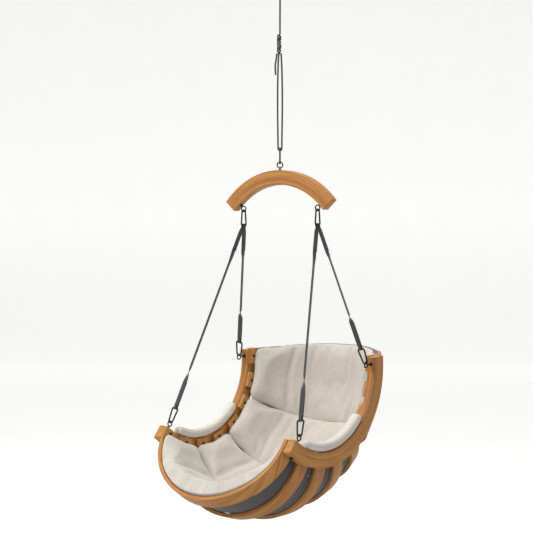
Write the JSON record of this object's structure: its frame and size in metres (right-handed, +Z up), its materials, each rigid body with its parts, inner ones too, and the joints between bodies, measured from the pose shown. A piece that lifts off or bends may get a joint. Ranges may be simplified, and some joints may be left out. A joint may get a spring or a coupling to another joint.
{
  "type": "hanging swing chair",
  "caption": "Hanging swing chair: a bent-wood hooped seat with padded cushions, hung by four webbing straps from a curved wooden spreader on a rope with a ceiling swivel.",
  "frame": {"origin": "centre of the ceiling plate's top face, where it meets the beam or ceiling", "axes": "+Z up, -Y the way the seat faces, +X to the right seen from the front, across the seat; left and right in node names are as seen from the front"},
  "size_m": [0.8, 1.1157, 2.5896],
  "materials": {
    "bent_wood": "satin oiled laminated wood",
    "seat_cushion_cloth": "matte woven upholstery",
    "arm_cushion_cloth": "matte woven upholstery",
    "strap_webbing": "matte webbing",
    "rope_cord": "matte braided cord",
    "bronze_bolts": "dark bronze",
    "ceiling_metal": "satin black",
    "black_metal": "satin black"
  },
  "bodies": {
    "ceiling": {"ceiling_plate": "ceiling_metal", "swivel_housing": "ceiling_metal", "swivel_thrust_bearing": "ceiling_metal"},
    "swivel": {"swivel_eye": "ceiling_metal", "swivel_nut": "ceiling_metal"},
    "ceiling_hook": {"ceiling_hook_frame": "black_metal", "ceiling_hook_pin": "black_metal"},
    "ceiling_hook_gate": {"ceiling_hook_gate": "black_metal"},
    "rope": {"rope_upper_loop": "rope_cord", "rope_upper_knot": "rope_cord", "rope_strand": "rope_cord", "rope_knot": "rope_cord", "rope_long_loop": "rope_cord", "rope_tail": "rope_cord"},
    "rope_hook": {"rope_hook_frame": "black_metal", "rope_hook_pin": "black_metal"},
    "rope_hook_gate": {"rope_hook_gate": "black_metal"},
    "spreader": {"spreader_bar": "bent_wood", "spreader_top_eye_bolt": "black_metal", "spreader_lower_eye_bolts": "black_metal"},
    "upper_carabiner_left": {"carabiner_upper_left_frame": "black_metal", "carabiner_upper_left_pin": "black_metal"},
    "upper_gate_left": {"carabiner_upper_left_gate": "black_metal"},
    "straps_left": {"strap_front_left": "strap_webbing", "strap_back_left": "strap_webbing", "carabiner_front_left_frame": "black_metal", "carabiner_back_left_frame": "black_metal", "carabiner_pins_left": "black_metal"},
    "front_gate_left": {"carabiner_front_left_gate": "black_metal"},
    "back_gate_left": {"carabiner_back_left_gate": "black_metal"},
    "upper_carabiner_right": {"carabiner_upper_right_frame": "black_metal", "carabiner_upper_right_pin": "black_metal"},
    "upper_gate_right": {"carabiner_upper_right_gate": "black_metal"},
    "straps_right": {"strap_front_right": "strap_webbing", "strap_back_right": "strap_webbing", "carabiner_front_right_frame": "black_metal", "carabiner_back_right_frame": "black_metal", "carabiner_pins_right": "black_metal"},
    "front_gate_right": {"carabiner_front_right_gate": "black_metal"},
    "back_gate_right": {"carabiner_back_right_gate": "black_metal"},
    "chair": {"side_arc_left": "bent_wood", "side_arc_right": "bent_wood", "hoop_1": "bent_wood", "hoop_2": "bent_wood", "hoop_3": "bent_wood", "hoop_4": "bent_wood", "hoop_5": "bent_wood", "hoop_6": "bent_wood", "hoop_7": "bent_wood", "hoop_8": "bent_wood", "hoop_bolts": "bronze_bolts", "seat_eye_bolts": "black_metal", "seat_eye_nuts": "black_metal", "cushion_front": "seat_cushion_cloth", "cushion_seat": "seat_cushion_cloth", "cushion_lumbar": "seat_cushion_cloth", "cushion_back": "seat_cushion_cloth", "arm_cushion_left": "arm_cushion_cloth", "arm_cushion_right": "arm_cushion_cloth"}
  },
  "joints": [
    {"name": "swivel_turn", "type": "hinge", "parent": "ceiling", "child": "swivel", "pos_m": [0, 0, -0.03], "axis": [0, 0, 1], "continuous": true},
    {"name": "ceiling_hook_swing", "type": "hinge", "parent": "swivel", "child": "ceiling_hook", "pos_m": [0, 0, -0.072], "axis": [1, 0, 0], "range_deg": [-25, 25]},
    {"name": "rope_swing", "type": "hinge", "parent": "ceiling_hook", "child": "rope", "pos_m": [0, 0, -0.1356], "axis": [0, 1, 0], "range_deg": [-15, 15]},
    {"name": "rope_hook_rock", "type": "hinge", "parent": "rope", "child": "rope_hook", "pos_m": [0, 0, -0.8966], "axis": [0.6347, -0.7727, 0], "range_deg": [-15, 15]},
    {"name": "spreader_tilt", "type": "hinge", "parent": "rope_hook", "child": "spreader", "pos_m": [0, 0, -0.961], "axis": [0.7727, 0.6347, 0], "range_deg": [-15, 15]},
    {"name": "left_carabiner_pitch", "type": "hinge", "parent": "spreader", "child": "upper_carabiner_left", "pos_m": [-0.21933, 0, -1.18795], "axis": [1, 0, 0], "range_deg": [-20, 20]},
    {"name": "right_carabiner_pitch", "type": "hinge", "parent": "spreader", "child": "upper_carabiner_right", "pos_m": [0.21933, 0, -1.18795], "axis": [1, 0, 0], "range_deg": [-20, 20]},
    {"name": "left_strap_sway", "type": "hinge", "parent": "upper_carabiner_left", "child": "straps_left", "pos_m": [-0.21933, 0, -1.25235], "axis": [0, 0.8658, 0.5005], "range_deg": [-4, 4]},
    {"name": "right_strap_sway", "type": "hinge", "parent": "upper_carabiner_right", "child": "straps_right", "pos_m": [0.21933, 0, -1.25235], "axis": [0, 0.8658, 0.5005], "range_deg": [-4, 4]},
    {"name": "chair_level", "type": "hinge", "parent": "straps_left", "child": "chair", "pos_m": [-0.37975, -0.33517, -2.15771], "axis": [0, 0.8658, 0.5005], "range_deg": [-2.8, 2.8]},
    {"name": "ceiling_hook_gate_hinge", "type": "hinge", "parent": "ceiling_hook", "child": "ceiling_hook_gate", "pos_m": [0, 0.01291, -0.08202], "axis": [-1, 0, 0], "range_deg": [0, 22], "stiffness_Nm_per_rad": 0.06, "springref_deg": -28.65},
    {"name": "rope_hook_gate_hinge", "type": "hinge", "parent": "rope_hook", "child": "rope_hook_gate", "pos_m": [0.00819, -0.00998, -0.94998], "axis": [-0.7727, -0.6347, 0], "range_deg": [0, 22], "stiffness_Nm_per_rad": 0.06, "springref_deg": -28.65},
    {"name": "upper_gate_left_hinge", "type": "hinge", "parent": "upper_carabiner_left", "child": "upper_gate_left", "pos_m": [-0.21933, 0.01291, -1.19897], "axis": [-1, 0, 0], "range_deg": [0, 22], "stiffness_Nm_per_rad": 0.06, "springref_deg": -28.65},
    {"name": "front_gate_left_hinge", "type": "hinge", "parent": "straps_left", "child": "front_gate_left", "pos_m": [-0.36398, -0.3322, -2.14957], "axis": [0, -0.9392, 0.3433], "range_deg": [0, 22], "stiffness_Nm_per_rad": 0.06, "springref_deg": -28.65},
    {"name": "back_gate_left_hinge", "type": "hinge", "parent": "straps_left", "child": "back_gate_left", "pos_m": [-0.36275, 0.149, -1.86967], "axis": [0, -0.9736, -0.2282], "range_deg": [0, 22], "stiffness_Nm_per_rad": 0.06, "springref_deg": -28.65},
    {"name": "upper_gate_right_hinge", "type": "hinge", "parent": "upper_carabiner_right", "child": "upper_gate_right", "pos_m": [0.21933, 0.01291, -1.19897], "axis": [-1, 0, 0], "range_deg": [0, 22], "stiffness_Nm_per_rad": 0.06, "springref_deg": -28.65},
    {"name": "front_gate_right_hinge", "type": "hinge", "parent": "straps_right", "child": "front_gate_right", "pos_m": [0.36398, -0.3322, -2.14957], "axis": [0, 0.9392, -0.3433], "range_deg": [0, 22], "stiffness_Nm_per_rad": 0.06, "springref_deg": -28.65},
    {"name": "back_gate_right_hinge", "type": "hinge", "parent": "straps_right", "child": "back_gate_right", "pos_m": [0.36275, 0.149, -1.86967], "axis": [0, 0.9736, 0.2282], "range_deg": [0, 22], "stiffness_Nm_per_rad": 0.06, "springref_deg": -28.65}
  ],
  "couplings": [
    {"joint": "right_carabiner_pitch", "follows": "left_carabiner_pitch", "ratio": 1},
    {"joint": "right_strap_sway", "follows": "left_strap_sway", "ratio": 1},
    {"joint": "chair_level", "follows": "left_strap_sway", "ratio": -0.5776}
  ]
}
